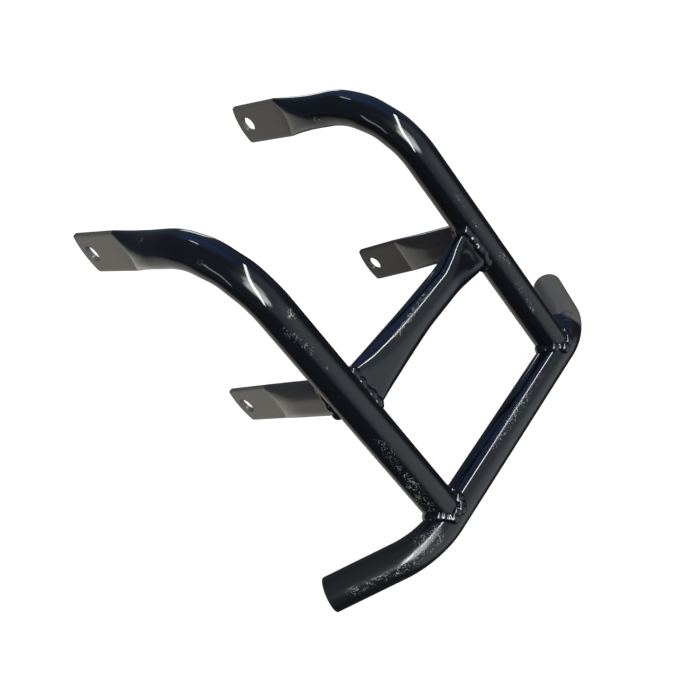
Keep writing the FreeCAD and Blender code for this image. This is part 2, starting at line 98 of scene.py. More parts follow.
def spread(low, high, steps):
    return [low + (high - low) * step / steps for step in range(steps + 1)]


# Every tube's section has the same columns: two sides, which press flat, and two round edges
section = {
    "holeBlock": 0.59,           # part of a flat side that the square round a bolt hole takes up
    "blockCells": 12,            # cells along each side of that square
    "outerCells": 3,             # cells from the square to the edge
    "edgeSteps": 8,              # steps round an edge
    "sideArc": 60,               # half of the arc that becomes a flat side, in degrees
    "copeSink": 0.2 * mm,        # how far a fitted end reaches into the tube that it meets
    "mergeWithin": 0.002 * mm,
    "sharpAngle": math.radians(38),
}


def sideShares():
    block, outer = section["holeBlock"], section["outerCells"]
    rim = spread(-1, -block, outer)[:-1]
    middle = spread(-block, block, section["blockCells"])
    return rim + middle + [-share for share in reversed(rim)]


shares = sideShares()
sideCount = len(shares)
leftSide = sideCount + section["edgeSteps"] - 1
columnCount = 2 * leftSide
firstBlockColumn = section["outerCells"]
lastBlockColumn = firstBlockColumn + section["blockCells"]


# From an oval, pressed 0, to a bar with flat sides, pressed 1: two flats joined by half ovals
def outline(thick, wide, pressed):
    fullFlat = max((wide - thick) / 2, 0)
    flat = fullFlat * pressed
    rise = wide / 2 - flat
    quarter = flat + math.pi / 4 * (thick / 2 + rise)
    flatShare = fullFlat / (fullFlat + math.pi * thick / 4)
    sideEnd = mix(section["sideArc"] / 90, flatShare, pressed) * quarter

    def pointAt(distance):
        if distance <= flat:
            return Vector((thick / 2, distance))
        turn = math.pi / 2 * (distance - flat) / (quarter - flat)
        return Vector((thick / 2 * math.cos(turn), flat + rise * math.sin(turn)))

    points = []
    for sign in (1, -1):
        for share in shares:
            point = pointAt(abs(share) * sideEnd)
            points.append(Vector((point.x, math.copysign(point.y, share))) * sign)
        for step in range(1, section["edgeSteps"]):
            past = 2 * step / section["edgeSteps"]
            point = pointAt(mix(sideEnd, quarter, min(past, 2 - past)))
            points.append(Vector((point.x if past < 1 else -point.x, point.y)) * sign)
    return points


def ringAt(centre, thickWay, wideWay, thick, wide, pressed):
    return [centre + thickWay * p.x + wideWay * p.y for p in outline(thick, wide, pressed)]


# Rings along a straight tube, without the one at its start
def straightRings(start, end, rows, wideWay, tube):
    return [ringAt(start.lerp(end, row / rows), across, wideWay, *tube)
            for row in range(1, rows + 1)]


# Slides each point of a ring along a direction until it lies on a tube, and no further than
# the trim before that tube's middle
def copedRing(ring, way, tubePoint, tubeWay, tubeRadius, trim=0):
    coped = []
    for point in ring:
        offset = (point - tubePoint) - tubeWay * (point - tubePoint).dot(tubeWay)
        step = way - tubeWay * way.dot(tubeWay)
        a = step.dot(step)
        b = offset.dot(step)
        c = offset.dot(offset) - tubeRadius ** 2
        reach = (-b - math.sqrt(max(b * b - a * c, 0))) / a
        coped.append(point + way * min(reach, -b / a - trim))
    return coped


def between(ring, other, steps):
    return [[a.lerp(b, step / steps) for a, b in zip(ring, other)] for step in range(1, steps + 1)]


# Faces across the end of a tube, from one flat side to the other
def capFaces(ring):
    start = ring * columnCount
    leftStart = start + leftSide
    right = list(range(start, start + sideCount))
    top = list(range(start + sideCount, leftStart))
    left = list(range(leftStart, leftStart + sideCount))[::-1]
    base = list(range(leftStart + sideCount, start + columnCount))
    faces = [(right[i], right[i + 1], left[i + 1], left[i]) for i in range(sideCount - 1)]
    for near, far, edge in ((right[-1], left[-1], top), (left[0], right[0], base)):
        row = [near] + edge + [far]
        while len(row) > 3:
            faces.append((row[0], row[1], row[-2], row[-1]))
            row = row[1:-1]
        faces.append(tuple(row))
    return faces


# Faces that join two loops of vertices
def loopFaces(loop, other):
    count = len(loop)
    return [(loop[i], loop[(i + 1) % count], other[(i + 1) % count], other[i])
            for i in range(count)]


def ringFaces(ring, other):
    return loopFaces(*(range(i * columnCount, (i + 1) * columnCount) for i in (ring, other)))


# Puts a finished mesh in the place of one solid
def placePiece(name, mesh, node):
    piece = bpy.data.objects.new(name, mesh)
    bpy.context.scene.collection.objects.link(piece)
    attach(piece, "root")
    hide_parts(node)
    return piece


# One piece from its vertices and faces, smooth apart from its real edges
def addPiece(name, points, faces, node):
    mesh = bpy.data.meshes.new(name)
    mesh.from_pydata([p[:] for p in points], [], faces)
    cleaner = bmesh.new()
    cleaner.from_mesh(mesh)
    bmesh.ops.remove_doubles(cleaner, verts=cleaner.verts, dist=section["mergeWithin"])
    bmesh.ops.recalc_face_normals(cleaner, faces=cleaner.faces)
    cleaner.to_mesh(mesh)
    cleaner.free()
    mesh.shade_smooth()
    mesh.set_sharp_from_angle(angle=section["sharpAngle"])
    return placePiece(name, mesh, node)


# Paint: a wear value says how scuffed each point is, and a satin value how dull its paint is and
# how far its colour pales towards a dusty tone, which is partly dust and partly a painted
# reflection of the pale surroundings
paint = {
    "black": (0.0020, 0.0026, 0.0034, 1),
    # Pale tone where the paint is dull: partly dust, partly a painted reflection of the pale
    # surroundings
    "dustAndSheen": (0.097, 0.090, 0.075, 1),
    "bareGrey": (0.155, 0.152, 0.146, 1),
    "refraction": 1.5,
    "gloss": 0.045,                  # roughness of sound paint, of dull paint and of scuffs
    "satinAndSheen": 0.36,
    "scuffed": 0.52,
    "wornRoughness": 0.11,           # roughness that full wear and smudges add
    "smudgeRoughness": 0.045,
    "smudgeEdge": (0.35, 0.75),
    "patchScale": 60,
    "chipScale": 360,
    "chipPatches": 0.6,              # how far patches and wear bring out chips
    "chipWear": 0.22,
    "chipEdge": (1.19, 1.22),
    "gougeScale": 190,
    "gougeWidth": (0.008, 0.026),
    "gougeBreaks": (0.38, 0.58),
    "gougePatches": 0.8,
    "gougeWear": 0.9,
    "gougeEdge": (0.90, 1.16),
    "gougeDepth": 0.8,
    "scratchScale": 120,
    "scratchRuns": (((0.3, 0.9, 0.2), (1, 16, 16)), ((1.1, 0.2, 0.7), (14, 14, 1))),
    "scratchWear": 0.13,
    "scratchEdge": (0.78, 0.84),
    "scratchDepth": 0.4,
    "peelScale": 900,
    "peelRelief": 0.03,
    "reliefStrength": 0.35,
    "reliefDepth": 0.12 * mm,
}


def link(tree, source, target):
    tree.links.new(source, target)


def mathNode(tree, kind, first, second=0, limited=False):
    node = tree.nodes.new("ShaderNodeMath")
    node.operation = kind
    node.use_clamp = limited
    for socket, value in zip(node.inputs, (first, second)):
        if isinstance(value, (int, float)):
            socket.default_value = value
        else:
            link(tree, value, socket)
    return node.outputs[0]


def plus(tree, first, second):
    return mathNode(tree, "ADD", first, second)


def times(tree, first, second):
    return mathNode(tree, "MULTIPLY", first, second)


def noiseNode(tree, coordinates, scale, detail, roughness=0.5, distortion=0.0):
    node = tree.nodes.new("ShaderNodeTexNoise")
    node.inputs["Scale"].default_value = scale
    node.inputs["Detail"].default_value = detail
    node.inputs["Roughness"].default_value = roughness
    node.inputs["Distortion"].default_value = distortion
    link(tree, coordinates, node.inputs["Vector"])
    return node.outputs["Fac"]


def rangeNode(tree, value, low, high, start=0.0, end=1.0):
    node = tree.nodes.new("ShaderNodeMapRange")
    node.interpolation_type = "SMOOTHSTEP"
    node.inputs["From Min"].default_value = low
    node.inputs["From Max"].default_value = high
    node.inputs["To Min"].default_value = start
    node.inputs["To Max"].default_value = end
    link(tree, value, node.inputs["Value"])
    return node.outputs["Result"]


def attributeNode(tree, name):
    node = tree.nodes.new("ShaderNodeAttribute")
    node.attribute_name = name
    return node.outputs["Fac"]


def mixNode(tree, share, first, second):
    node = tree.nodes.new("ShaderNodeMix")
    node.data_type = "RGBA"
    link(tree, share, node.inputs["Factor"])
    for name, value in (("A", first), ("B", second)):
        if isinstance(value, tuple):
            node.inputs[name].default_value = value
        else:
            link(tree, value, node.inputs[name])
    return node.outputs["Result"]


# Chips gather where the wear value is high, and a few specks fall anywhere
def chipMask(tree, place, wear, patches):
    chips = noiseNode(tree, place, paint["chipScale"], detail=5, roughness=0.62)
    level = plus(tree, chips, times(tree, patches, paint["chipPatches"]))
    level = plus(tree, level, times(tree, wear, paint["chipWear"]))
    return rangeNode(tree, level, *paint["chipEdge"])


# Gouges: thin winding lines, broken up, only inside the worn zones
def gougeMask(tree, place, wear, patches):
    winding = noiseNode(tree, place, paint["gougeScale"], detail=2, roughness=0.55, distortion=1.5)
    ridge = mathNode(tree, "ABSOLUTE", mathNode(tree, "SUBTRACT", winding, 0.5))
    thin = rangeNode(tree, ridge, *paint["gougeWidth"], start=1.0, end=0.0)
    breaks = noiseNode(tree, place, paint["chipScale"], detail=2)
    broken = rangeNode(tree, breaks, *paint["gougeBreaks"])
    worn = plus(tree, times(tree, wear, paint["gougeWear"]),
                times(tree, patches, paint["gougePatches"]))
    zone = rangeNode(tree, worn, *paint["gougeEdge"])
    return times(tree, times(tree, thin, broken), zone)


# Fine scratches run in two directions across the tubes, each with its turn and stretch
def scratchMask(tree, place, wear):
    masks = []
    for turn, stretch in paint["scratchRuns"]:
        mapping = tree.nodes.new("ShaderNodeMapping")
        mapping.inputs["Rotation"].default_value = turn
        mapping.inputs["Scale"].default_value = stretch
        link(tree, place, mapping.inputs["Vector"])
        lines = noiseNode(tree, mapping.outputs["Vector"], paint["scratchScale"], detail=3)
        level = plus(tree, lines, times(tree, wear, paint["scratchWear"]))
        masks.append(rangeNode(tree, level, *paint["scratchEdge"]))
    return mathNode(tree, "MAXIMUM", *masks)


def makePaint():
    material = bpy.data.materials.new("glossBlackPaint")
    material.use_nodes = True
    tree = material.node_tree
    shader = tree.nodes["Principled BSDF"]
    shader.inputs["IOR"].default_value = paint["refraction"]
    place = tree.nodes.new("ShaderNodeTexCoord").outputs["Object"]
    wear = attributeNode(tree, "wear")
    satinAndSheen = attributeNode(tree, "satinAndSheen")

    patches = noiseNode(tree, place, paint["patchScale"], detail=3)
    scratches = times(tree, scratchMask(tree, place, wear), paint["scratchDepth"])
    gouges = times(tree, gougeMask(tree, place, wear, patches), paint["gougeDepth"])
    damage = mathNode(tree, "MAXIMUM", chipMask(tree, place, wear, patches), scratches)
    damage = mathNode(tree, "MAXIMUM", damage, gouges)

    # Colour: black paint, a pale tone where it is dull that is partly dust and partly a painted
    # reflection, grey where it is scuffed through
    coat = mixNode(tree, satinAndSheen, paint["black"], paint["dustAndSheen"])
    link(tree, mixNode(tree, damage, coat, paint["bareGrey"]), shader.inputs["Base Color"])

    # Gloss: even on the tubes, less on the pressed tabs and on scuffs
    smudges = noiseNode(tree, place, paint["patchScale"], detail=4)
    rough = times(tree, satinAndSheen, paint["satinAndSheen"] - paint["gloss"])
    rough = plus(tree, rough, rangeNode(tree, smudges, *paint["smudgeEdge"],
                                        end=paint["smudgeRoughness"]))
    rough = plus(tree, rough, paint["gloss"])
    rough = plus(tree, rough, times(tree, damage, paint["scuffed"] - paint["gloss"]))
    worn = times(tree, wear, paint["wornRoughness"])
    link(tree, mathNode(tree, "ADD", rough, worn, limited=True), shader.inputs["Roughness"])

    # Relief: a faint orange peel in the paint, and damage that lies below it
    peel = noiseNode(tree, place, paint["peelScale"], detail=2)
    relief = mathNode(tree, "SUBTRACT", times(tree, peel, paint["peelRelief"]), damage)
    bump = tree.nodes.new("ShaderNodeBump")
    bump.inputs["Strength"].default_value = paint["reliefStrength"]
    bump.inputs["Distance"].default_value = paint["reliefDepth"]
    link(tree, relief, bump.inputs["Height"])
    link(tree, bump.outputs["Normal"], shader.inputs["Normal"])
    return material


paintMaterial = makePaint()
print("paint made")


def awayFrom(place, start, end):
    along = end - start
    share = (place - start).dot(along) / max(along.length_squared, 1e-12)
    return (place - start - along * clamp(share)).length


# Paints a piece, and writes its wear and satin values; the satin value also pales the colour with
# a painted reflection.
# A scrape has two ends and a radius in millimetres, and then how worn it is
def finishPiece(piece, scrapes, satinAndSheenAt=None):
    mesh = piece.data
    mesh.materials.clear()
    mesh.materials.append(paintMaterial)
    names = ("wear", "satinAndSheen")
    for name in names:
        mesh.attributes.new(name, "FLOAT", "POINT")
    wear, satinAndSheen = (mesh.attributes[name].data for name in names)
    scaled = [(Vector(start) * mm, Vector(end) * mm, radius * mm, strength)
              for start, end, radius, strength in scrapes]
    for vertex in mesh.vertices:
        level = 0
        for start, end, radius, strength in scaled:
            distance = awayFrom(vertex.co, start, end) / radius
            level = max(level, strength * math.exp(-distance * distance))
        wear[vertex.index].value = level
        satinAndSheen[vertex.index].value = satinAndSheenAt(vertex.co) if satinAndSheenAt else 0


# Tab with its bolt hole and sheared tip
tab = {
    "thickness": 4.0 * mm,
    "tipRadius": 41.0 * mm,
    "cornerRadius": 2.5 * mm,
    "chamfer": 0.45 * mm,
    "holeApron": 1.22,                     # first ring of faces round the hole, in hole radii
    "tipRows": 2,                          # from the square round the hole to the tip
    "backRows": 4,                         # from that square towards the crease
    "creaseRows": (0.35, 1.2, 3.0, 7.0),   # ahead of the crease, in millimetres
    "flareCrowding": 1.35,                 # how much the flare's rows crowd at the crease
}


def creaseOf(tabbed):
    return tabbed["tabLength"] - tabbed["holeInset"]


# How far the tip reaches past the hole at a height, with its two round corners
def tipLine(height, width, inset):
    half = width / 2
    corner = tab["cornerRadius"]
    middle = inset - math.sqrt(tab["tipRadius"] ** 2 - half ** 2)
    cornerHeight = half - corner
    cornerPlace = middle + math.sqrt((tab["tipRadius"] - corner) ** 2 - cornerHeight ** 2)
    turn = math.atan2(cornerHeight, cornerPlace - middle)
    height = min(abs(height), half)
    if height < tab["tipRadius"] * math.sin(turn):
        return middle + math.sqrt(tab["tipRadius"] ** 2 - height ** 2)
    return cornerPlace + math.sqrt(max(corner ** 2 - (height - cornerHeight) ** 2, 0))


# Rings from the tip to the crease, and the first and last ring of the square round the hole
def tabRings(tabbed, hole, tipWay, wideWay):
    width, inset, crease = tabbed["tabWidth"], tabbed["holeInset"], creaseOf(tabbed)
    thick, chamfer = tab["thickness"], tab["chamfer"]
    profile = outline(thick, width, 1)
    block = section["holeBlock"] * (width - thick) / 2
    cells = section["blockCells"]
    rows = cells + tab["tipRows"]

    def place(p, along):
        return hole + across * p.x + wideWay * p.y + tipWay * along

    def rowPlace(height, row):
        tip = tipLine(height, width, inset) - chamfer
        if abs(height) > block * 1.001:     # beside the square, rounding apart
            return mix(-block, tip, row / rows)
        if row <= cells:
            return mix(-block, block, row / cells)
        return mix(block, tip, (row - cells) / (rows - cells))

    thin, low = 1 - 2 * chamfer / thick, 1 - 2 * chamfer / width
    rings = [[place(Vector((p.x * thin, p.y * low)), tipLine(p.y, width, inset)) for p in profile]]
    for row in range(rows, -1, -1):
        rings.append([place(p, rowPlace(p.y, row)) for p in profile])
    lastBlockRing = len(rings) - 1
    ahead = [step * mm for step in tab["creaseRows"]]
    backPlaces = spread(-block, ahead[-1] - crease, tab["backRows"])[1:]
    backPlaces += [step - crease for step in reversed([0] + ahead[:-1])]
    rings += [[place(p, along) for p in profile] for along in backPlaces]
    return rings, (lastBlockRing - cells, lastBlockRing)


# Rings from the crease to the tube that the tab is pressed from
def flareRings(tabbed, hole, tipWay, wideWay, tube):
    thick, wide, pressed = tube
    rings = []
    for row in range(1, tabbed["flareRows"] + 1):
        away = (row / tabbed["flareRows"]) ** tab["flareCrowding"]
        thinned = mix(thick, tab["thickness"], (1 - away) ** tabbed["thinning"])
        widened = mix(wide, tabbed["tabWidth"], (1 - away) ** tabbed["widening"])
        centre = hole - tipWay * (creaseOf(tabbed) + tabbed["flareLength"] * away)
        flatness = max(pressed, 1 - away * away)
        rings.append(ringAt(centre, across, wideWay, thinned, widened, flatness))
    return rings


# Replaces the square of cells on both flat sides by a round hole through the tab
def holeFaces(points, blockRings, hole, tipWay, wideWay):
    firstRing, lastRing = blockRings
    first, last = firstBlockColumn, lastBlockColumn
    loop = [(firstRing, column) for column in range(first, last)]
    loop += [(ring, last) for ring in range(firstRing, lastRing)]
    loop += [(lastRing, column) for column in range(last, first, -1)]
    loop += [(ring, first) for ring in range(lastRing, firstRing, -1)]
    chamfer = tab["chamfer"]
    circles = ((tab["holeApron"], 0), (1 + chamfer / holeRadius, 0), (1, chamfer))
    faces, rims = [], []
    lastLeft = leftSide + sideCount - 1
    for side in (1, -1):
        square = [ring * columnCount + (column if side > 0 else lastLeft - column)
                  for ring, column in loop]
        previous = square
        for radius, depth in circles:
            start = len(points)
            for index in square:
                flat = points[index] - hole
                way = Vector((flat.dot(tipWay), flat.dot(wideWay))).normalized()
                way *= holeRadius * radius
                surface = across * side * (tab["thickness"] / 2 - depth)
                points.append(hole + tipWay * way.x + wideWay * way.y + surface)
            circle = range(start, len(points))
            faces += loopFaces(previous, circle)
            previous = circle
        rims.append(previous)
    return faces + loopFaces(*rims)


def inBlock(ring, column, blockRings):
    inColumns = firstBlockColumn <= column % leftSide < lastBlockColumn
    return inColumns and blockRings[0] <= ring < blockRings[1]


# A tube that ends in a tab: closed skin from its rings, with the hole let in
def addTabbedTube(name, rings, blockRings, hole, tipWay, wideWay, node):
    points = [point for ring in rings for point in ring]
    last = len(rings) - 1
    faces = [face for ring in range(last) for column, face in enumerate(ringFaces(ring, ring + 1))
             if not inBlock(ring, column, blockRings)]
    faces += capFaces(0) + capFaces(last)
    faces += holeFaces(points, blockRings, hole, tipWay, wideWay)
    return addPiece(name, points, faces, node)


# Uprights
upright = {
    "lean": math.radians(14.7),
    "bendRadius": 66.0 * mm,
    "armLength": 52.0 * mm,
    "flareLength": 40.0 * mm,
    "tabWidth": 32.5 * mm,
    "tabLength": 50.0 * mm,
    "holeInset": 8.2 * mm,
    "footTrim": 4.0 * mm,
    "thinning": 1.9,             # how late the tube thins and widens towards the crease
    "widening": 1.9,
    "bendFlat": 0.035,           # the bend's outer side is drawn in by this part of the tube
    "bendSpread": 0.5,           # and this share of it goes sideways
    "ripple": 0.22 * mm,         # the bending tool leaves shallow waves
    "rippleLength": 27.0 * mm,
    "flareRows": 26,
    "armRow": 6.0 * mm,          # last row of the arm, ahead of the bend
    "bendRows": 44,
    "legRows": 40,
    "copeStart": 24.0 * mm,      # where the rows that run into the foot start, above the bar
    "copeRows": 5,
    "satinAndSheen": 0.6,                # the tab's paint is dull from just behind its crease, and paled there by a painted reflection of the pale floor
    "satinAndSheenStart": 0.2 * mm,
    "satinAndSheenFade": 1.2 * mm,
}
alongLeg = Vector((0, math.sin(upright["lean"]), math.cos(upright["lean"])))
behindLeg = Vector((0, math.cos(upright["lean"]), -math.sin(upright["lean"])))


def outwardAt(turn):
    return upward * math.cos(turn) - rearward * math.sin(turn)


def bendRings(centre, sweep):
    u = upright
    tube = 2 * legRadius
    rings = []
    for row in range(u["bendRows"] + 1):
        turn = sweep * row / u["bendRows"]
        outward = outwardAt(turn)
        middle = centre + outward * u["bendRadius"]
        swell = math.sin(math.pi * row / u["bendRows"]) ** 2
        drawn = swell * u["bendFlat"]
        waves = turn * u["bendRadius"] / u["rippleLength"]
        grown = 1 + swell * u["ripple"] * math.sin(2 * math.pi * waves) / legRadius
        ring = []
        for p in outline(tube, tube, 0):
            outer = max(p.y / legRadius, 0) ** 2
            ring.append(middle + across * p.x * (grown + drawn * u["bendSpread"])
                        + outward * (p.y * grown - tube * drawn * outer))
        rings.append(ring)
    return rings


def makeUpright(side, hand):
    u = upright
    tube = (2 * legRadius, 2 * legRadius, 0)
    hole = upperHole + across * side * halfSpacing
    rings, blockRings = tabRings(u, hole, rearward, upward)
    rings += flareRings(u, hole, rearward, upward, tube)
    bendStart = hole - rearward * (creaseOf(u) + u["armLength"])
    rings.append(ringAt(bendStart + rearward * u["armRow"], across, upward, *tube))
    centre = bendStart - upward * u["bendRadius"]
    sweep = math.pi / 2 - u["lean"]
    rings += bendRings(centre, sweep)
    foot = footOf(side)
    outward = outwardAt(sweep)
    top = centre + outward * u["bendRadius"]
    low = foot + alongLeg * u["copeStart"]
    rings += straightRings(top, low, u["legRows"], outward, tube)
    coped = copedRing(rings[-1], -alongLeg, foot, across, barRadius - section["copeSink"],
                      u["footTrim"])
    rings += between(rings[-1], coped, u["copeRows"])
    return addTabbedTube(hand + "Upright", rings, blockRings, hole, rearward, upward,
                         hand + "_upright")


# The tab's dull paint, with its painted reflection of the floor, starts just behind the crease
def uprightSatinAndSheen(place):
    u = upright
    return clamp((place.y + creaseOf(u) + u["satinAndSheenStart"]) / u["satinAndSheenFade"], 0, u["satinAndSheen"])


uprightWear = {
    "right": (
        ((-96, -193, -147), (-97, -201, -184), 5, 0.95),
        ((-97, -201, -184), (-100, -202, -212), 7, 1.0),
        ((-101, -208, -215), (-98, -206, -200), 7, 0.85),
        ((-87, -171, -51), (-87, -171, -50), 3.5, 1.8),
        ((-96, -169, -56), (-92, -177, -75), 4, 0.9),
        ((-94, -173, -68), (-92, -180, -90), 3, 0.8),
        ((-92, -73, 12), (-93, -79, 11), 4, 0.85),
        ((-98, -121, 0), (-97, -133, -4), 4, 0.7),
        ((-90, -185, -104), (-91, -186, -112), 3, 0.8),
    ),
    "left": (
        ((84, -192, -133), (86, -195, -142), 5, 0.95),
        ((82, -198, -156), (80, -204, -185), 4, 0.8),
        ((82, -177, -78), (82, -189, -122), 4, 0.75),
        ((74, -84, 0), (75, -110, -7), 4, 0.9),
        ((98, -195, -150), (96, -200, -190), 6, 0.7),
    ),
}
for side, hand in sides:
    finishPiece(makeUpright(side, hand), uprightWear[hand], uprightSatinAndSheen)
print("uprights made")


# Lower stays
stay = {
    "level": 115.5 * mm,
    "drop": math.radians(10.7),
    "reach": 121.0 * mm,
    "width": 27.5 * mm,
    "depth": 18.0 * mm,
    "pressed": 0.8,
    "flareLength": 38.0 * mm,
    "tabWidth": 31.2 * mm,
    "tabLength": 45.7 * mm,
    "holeInset": 7.8 * mm,
    "thinning": 1.9,
    "widening": 1.3,
    "flareRows": 24,
    "tubeRows": 8,
    "copeStart": 22.0 * mm,      # where the rows that run into the leg start, behind its middle
    "copeRows": 3,
    "rightSatinAndSheen": (0.22, 0.6),   # dullness of the tube and of the tab, and with it a painted reflection, set apart for each side
    "leftSatinAndSheen": (0.12, 0.27),
    "satinAndSheenStart": 6.0 * mm,
    "satinAndSheenFade": 8.0 * mm,
}
stayWay = Vector((0, math.cos(stay["drop"]), -math.sin(stay["drop"])))
stayUp = Vector((0, math.sin(stay["drop"]), math.cos(stay["drop"])))


def makeStay(side, hand):
    s = stay
    tube = (s["depth"], s["width"], s["pressed"])
    hole = lowerHole + across * side * halfSpacing
    rings, blockRings = tabRings(s, hole, stayWay, stayUp)
    rings += flareRings(s, hole, stayWay, stayUp, tube)
    start = hole - stayWay * (creaseOf(s) + s["flareLength"])
    end = hole - stayWay * (s["reach"] - s["copeStart"])
    rings += straightRings(start, end, s["tubeRows"], stayUp, tube)
    coped = copedRing(rings[-1], -stayWay, footOf(side), alongLeg, legRadius - section["copeSink"])
    rings += between(rings[-1], coped, s["copeRows"])
    return addTabbedTube(hand + "LowerStay", rings, blockRings, hole, stayWay, stayUp,
                         hand + "_lower_stay")


# Dull paint and painted reflection along a stay, with a level of each for each side
def staySatinAndSheen(place):
    s = stay
    along = (place - lowerHole).dot(stayWay)
    limits = s["rightSatinAndSheen"] if place.x < 0 else s["leftSatinAndSheen"]
    return clamp((along + creaseOf(s) + s["satinAndSheenStart"]) / s["satinAndSheenFade"], *limits)


stayWear = {
    "right": (((-96, -120, -129), (-96, -100, -132), 5, 0.55),),
    "left": (((78, -125, -128), (78, -108, -130), 5, 0.55),),
}
for side, hand in sides:
    finishPiece(makeStay(side, hand), stayWear[hand], staySatinAndSheen)
print("lower stays made")


# Bumper bar, an open tube with a wing at each end
bar = {
    "straight": 181.0 * mm,
    "wingRadius": 58.0 * mm,
    "wingAngle": math.radians(43.0),
    "wingLength": 52.5 * mm,
    "wall": 2.0 * mm,
    "chamfer": 0.35 * mm,
    "bendFlat": 0.022,
    "straightRows": 44,
    "bendRows": 26,
    "wingRows": 14,
    "leftSatinAndSheen": 0.62,           # the left wing has lost its gloss, up to an uneven edge, and is paled there by a painted reflection of a bright wall
    "leftStart": 116.0 * mm,
    "leftFade": 4.0 * mm,
    "edgeScale": 110,
    "edgeWander": 7.0 * mm,
    "rightSatinAndSheen": 0.06,          # and the right wing a little of it, on top: a faint painted sheen on its upper side
    "rightStart": 100.0 * mm,
    "rightFade": 20.0 * mm,
    "topStart": -2.0 * mm,
    "topFade": 9.0 * mm,
}


# Place, inward direction and draw-in of each ring, from the right end to the left
def barStations():
    b = bar
    half = b["straight"] / 2
    stations = [(across * x, rearward, 0) for x in spread(0, half, b["straightRows"] // 2)]
    centre = Vector((half, b["wingRadius"], 0))
    for row in range(1, b["bendRows"] + 1):
        turn = b["wingAngle"] * row / b["bendRows"]
        inward = Vector((-math.sin(turn), math.cos(turn), 0))
        drawn = math.sin(math.pi * row / b["bendRows"]) ** 2
        stations.append((centre - inward * b["wingRadius"], inward, drawn))
    start, inward, _ = stations[-1]
    way = Vector((inward.y, -inward.x, 0))
    for row in range(1, b["wingRows"] + 1):
        stations.append((start + way * b["wingLength"] * row / b["wingRows"], inward, 0))
    mirrored = [(Vector((-p.x, p.y, 0)), Vector((-n.x, n.y, 0)), d) for p, n, d in stations[1:]]
    return mirrored[::-1] + stations


def makeBar():
    tube, bore = 2 * barRadius, 2 * (barRadius - bar["wall"])
    stations = barStations()
    outer, inner = [], []
    for place, inward, drawn in stations:
        ring = []
        for p in outline(tube, tube, 0):
            pulled = max(-p.y / barRadius, 0) ** 2 * drawn * bar["bendFlat"] * tube
            ring.append(barMiddle + place + upward * p.x + inward * (p.y + pulled))
        outer.append(ring)
        inner.append(ringAt(barMiddle + place, upward, inward, bore, bore, 0))

    # Each end gets a chamfer inside and outside: its rings move back, and a narrower lip follows
    lips = []
    for end, side in ((0, -1), (-1, 1)):
        place, inward, _ = stations[end]
        back = Vector((inward.y, -inward.x, 0)) * -side * bar["chamfer"]
        lip = []
        for rings, grow in ((outer, -bar["chamfer"]), (inner, bar["chamfer"])):
            lip.append([p + (p - barMiddle - place).normalized() * grow for p in rings[end]])
            rings[end] = [p + back for p in rings[end]]
        lips.append(lip)
    loop = outer + lips[1] + inner[::-1] + lips[0][::-1]
    points = [point for ring in loop for point in ring]
    faces = []
    for ring in range(len(loop)):
        faces += ringFaces(ring, (ring + 1) % len(loop))
    return addPiece("bumperBar", points, faces, "bumper_bar")


# Dull paint with a painted reflection: over the left wing up to an uneven edge, and faintly on the
# right wing's top
def barSatinAndSheen(place):
    b = bar
    if place.x < 0:
        above = clamp((place.z - barMiddle.z - b["topStart"]) / b["topFade"])
        return clamp((-place.x - b["rightStart"]) / b["rightFade"]) * above * b["rightSatinAndSheen"]
    uneven = noise.noise(place * b["edgeScale"]) * b["edgeWander"]
    return clamp((place.x + uneven - b["leftStart"]) / b["leftFade"], 0, b["leftSatinAndSheen"])


barWear = (
    ((-164, -173, -225), (-131, -204, -227), 5, 0.95),
    ((-131, -204, -226), (-109, -213, -223), 7, 1.0),
    ((-117, -204, -218), (-106, -211, -220), 6, 0.9),
    ((-90, -218, -231), (-68, -216, -236), 6, 0.75),
    ((-32, -214, -220), (26, -213, -220), 5, 0.8),
    ((26, -213, -220), (50, -213, -220), 5, 0.7),
    ((83, -215, -216), (108, -209, -224), 8, 0.8),
    ((-155, -185, -236), (-130, -203, -236), 6, 0.7),
    ((111, -206, -220), (117, -203, -224), 5, 1.1),
)
finishPiece(makeBar(), barWear, barSatinAndSheen)
print("bumper bar made")


# Cross tube, round in the middle and pressed oval where it meets the legs
cross = {
    "level": 112.5 * mm,
    "diameter": 24.0 * mm,
    "endWidth": 33.0 * mm,
    "endDepth": 12.0 * mm,
    "weldRoom": 4.5 * mm,        # the ends are fully pressed this far from the legs
    "leftRound": 31.0 * mm,      # the left end's pressing starts here, the right's at the middle
    "leftPower": 1.5,
    "leftEase": 0.5,
    "rightWidening": 1.35,
    "rightThinning": 3.6,
    "rightDrop": 2.5 * mm,       # the right end is pressed a little low
    "rows": 120,
    "copeStart": 2.0 * mm,       # where the rows that run into the legs start
    "copeRows": 2,
    "dimpleInset": 15.5 * mm,
    "dimpleRadius": 6.3 * mm,
    "dimpleRim": 2.2 * mm,
    "dimpleDepth": 0.45 * mm,
}
crossMiddle = barMiddle + alongLeg * cross["level"]


def crossRing(x):
    c = cross
    full = halfSpacing - legRadius - c["weldRoom"]
    low = 0
    if x < 0:
        share = min(-x / full, 1)
        widened, thinned = share ** c["rightWidening"], share ** c["rightThinning"]
        low = c["rightDrop"] * widened
    else:
        share = clamp((x - c["leftRound"]) / (full - c["leftRound"]))
        widened = thinned = mix(share ** c["leftPower"], smoothStep(share), c["leftEase"])
    thick = mix(c["diameter"], c["endDepth"], thinned)
    wide = mix(c["diameter"], c["endWidth"], widened)
    middle = crossMiddle + across * x - alongLeg * low
    return ringAt(middle, behindLeg, alongLeg, thick, wide, thinned)


